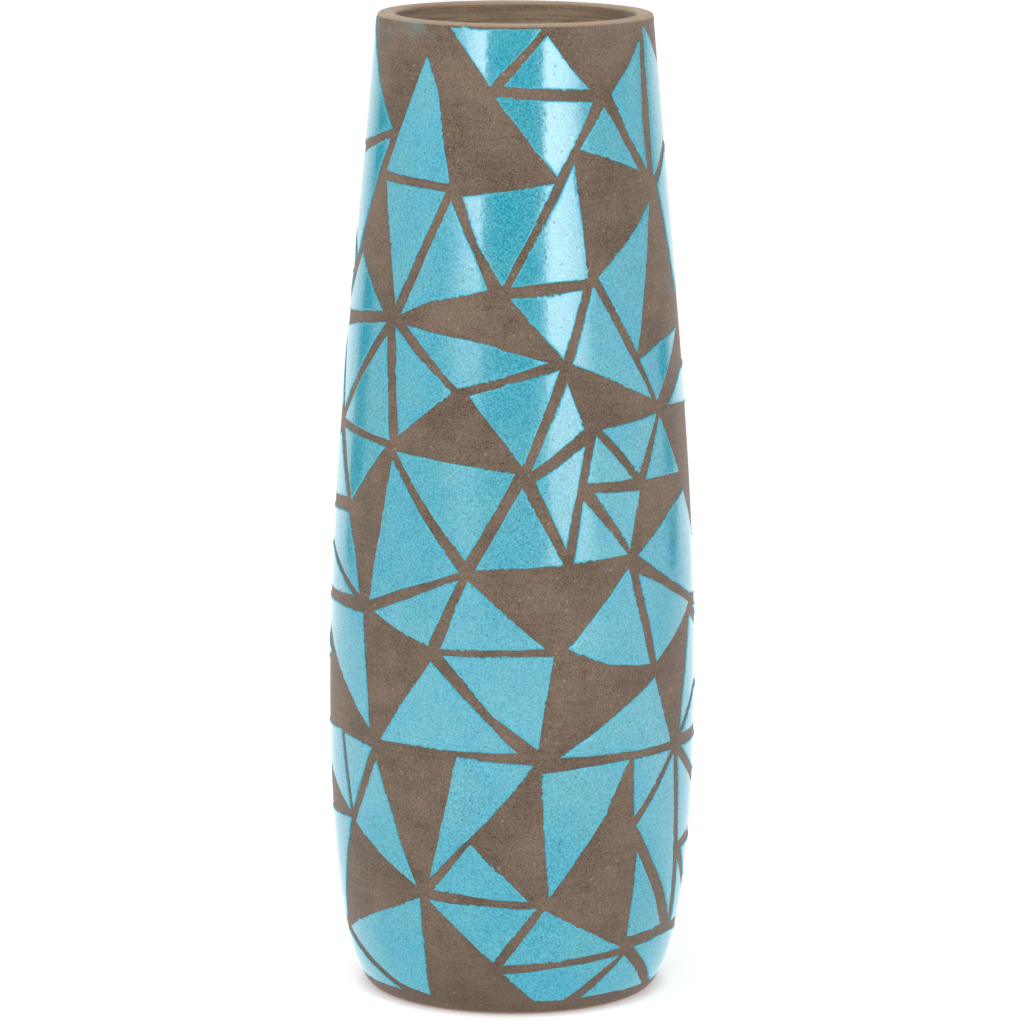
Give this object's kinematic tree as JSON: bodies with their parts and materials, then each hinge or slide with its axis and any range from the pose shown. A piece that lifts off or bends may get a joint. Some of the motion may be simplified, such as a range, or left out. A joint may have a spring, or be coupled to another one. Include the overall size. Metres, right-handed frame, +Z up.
{
  "type": "pottery vase",
  "caption": "Tall tapered pottery vase, open at the mouth, with raised fields of turquoise glaze on matte bare clay. Holds flowers, stems or branches.",
  "frame": {"origin": "centre of the foot, on the surface that the vase stands on", "axes": "+Z up along the axis on which the vase was thrown, -Y towards the side that the outlines of the front are drawn for"},
  "size_m": [0.1799, 0.18, 0.48],
  "materials": {
    "bare_clay": "matte, unglazed",
    "turquoise_glaze": "gloss"
  },
  "bodies": {
    "root": {"clay_body": "bare_clay", "front_foot_glaze": "turquoise_glaze", "front_right_foot_glaze": "turquoise_glaze", "right_foot_glaze": "turquoise_glaze", "back_right_foot_glaze": "turquoise_glaze", "back_foot_glaze": "turquoise_glaze", "back_left_foot_glaze": "turquoise_glaze", "left_foot_glaze": "turquoise_glaze", "front_left_foot_glaze": "turquoise_glaze", "front_lower_glaze": "turquoise_glaze", "front_right_lower_glaze": "turquoise_glaze", "right_lower_glaze": "turquoise_glaze", "back_right_lower_glaze": "turquoise_glaze", "back_lower_glaze": "turquoise_glaze", "back_left_lower_glaze": "turquoise_glaze", "left_lower_glaze": "turquoise_glaze", "front_left_lower_glaze": "turquoise_glaze", "front_belly_glaze": "turquoise_glaze", "front_right_belly_glaze": "turquoise_glaze", "right_belly_glaze": "turquoise_glaze", "back_right_belly_glaze": "turquoise_glaze", "back_belly_glaze": "turquoise_glaze", "back_left_belly_glaze": "turquoise_glaze", "left_belly_glaze": "turquoise_glaze", "front_left_belly_glaze": "turquoise_glaze", "front_waist_glaze": "turquoise_glaze", "front_right_waist_glaze": "turquoise_glaze", "right_waist_glaze": "turquoise_glaze", "back_right_waist_glaze": "turquoise_glaze", "back_waist_glaze": "turquoise_glaze", "back_left_waist_glaze": "turquoise_glaze", "left_waist_glaze": "turquoise_glaze", "front_left_waist_glaze": "turquoise_glaze", "front_shoulder_glaze": "turquoise_glaze", "front_right_shoulder_glaze": "turquoise_glaze", "right_shoulder_glaze": "turquoise_glaze", "back_right_shoulder_glaze": "turquoise_glaze", "back_shoulder_glaze": "turquoise_glaze", "back_left_shoulder_glaze": "turquoise_glaze", "left_shoulder_glaze": "turquoise_glaze", "front_left_shoulder_glaze": "turquoise_glaze", "front_neck_glaze": "turquoise_glaze", "front_right_neck_glaze": "turquoise_glaze", "right_neck_glaze": "turquoise_glaze", "back_right_neck_glaze": "turquoise_glaze", "back_neck_glaze": "turquoise_glaze", "back_left_neck_glaze": "turquoise_glaze", "left_neck_glaze": "turquoise_glaze", "front_left_neck_glaze": "turquoise_glaze"}
  },
  "joints": []
}
